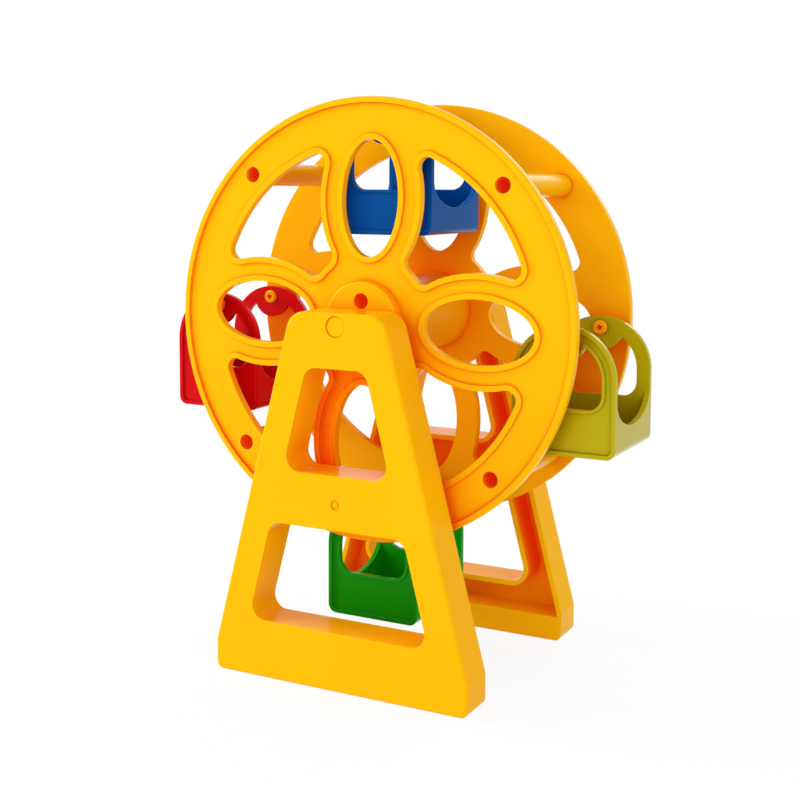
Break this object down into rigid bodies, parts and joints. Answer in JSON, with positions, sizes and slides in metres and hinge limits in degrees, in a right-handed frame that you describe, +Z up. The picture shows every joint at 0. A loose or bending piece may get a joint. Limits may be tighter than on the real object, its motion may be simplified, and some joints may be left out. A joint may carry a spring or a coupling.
{
  "type": "toy ferris wheel",
  "caption": "Plastic toy Ferris wheel: A-shaped stands, a wheel of flower-cut discs joined by tubes, and arched gondolas that hang level from its rim.",
  "frame": {"origin": "on the table, under the middle of the toy", "axes": "+Z up, +X to the right across the wheel seen from the front, +Y from the front stand to the rear stand along the axle"},
  "size_m": [0.1684, 0.095, 0.195],
  "materials": {
    "yellow_plastic": "glossy moulded yellow plastic",
    "lime_plastic": "glossy moulded lime plastic",
    "blue_plastic": "glossy moulded blue plastic",
    "red_plastic": "glossy moulded red plastic",
    "green_plastic": "glossy moulded green plastic"
  },
  "bodies": {
    "stand": {"front_stand": "yellow_plastic", "rear_stand": "yellow_plastic", "axle": "yellow_plastic"},
    "wheel": {"front_disc": "yellow_plastic", "rear_disc": "yellow_plastic", "hub_drum": "yellow_plastic", "spacer_tube_1": "yellow_plastic", "spacer_tube_2": "yellow_plastic", "spacer_tube_3": "yellow_plastic", "spacer_tube_4": "yellow_plastic"},
    "lime_gondola": {"lime_gondola": "lime_plastic"},
    "blue_gondola": {"blue_gondola": "blue_plastic"},
    "red_gondola": {"red_gondola": "red_plastic"},
    "green_gondola": {"green_gondola": "green_plastic"}
  },
  "joints": [
    {"name": "wheel_spin", "type": "hinge", "parent": "stand", "child": "wheel", "pos_m": [0, 0, 0.1205], "axis": [0, 1, 0], "continuous": true},
    {"name": "lime_gondola_swing", "type": "hinge", "parent": "wheel", "child": "lime_gondola", "pos_m": [0.06666, 0, 0.11806], "axis": [0, 1, 0], "continuous": true},
    {"name": "blue_gondola_swing", "type": "hinge", "parent": "wheel", "child": "blue_gondola", "pos_m": [0.00244, 0, 0.18715], "axis": [0, 1, 0], "continuous": true},
    {"name": "red_gondola_swing", "type": "hinge", "parent": "wheel", "child": "red_gondola", "pos_m": [-0.06666, 0, 0.12294], "axis": [0, 1, 0], "continuous": true},
    {"name": "green_gondola_swing", "type": "hinge", "parent": "wheel", "child": "green_gondola", "pos_m": [-0.00244, 0, 0.05384], "axis": [0, 1, 0], "continuous": true}
  ]
}
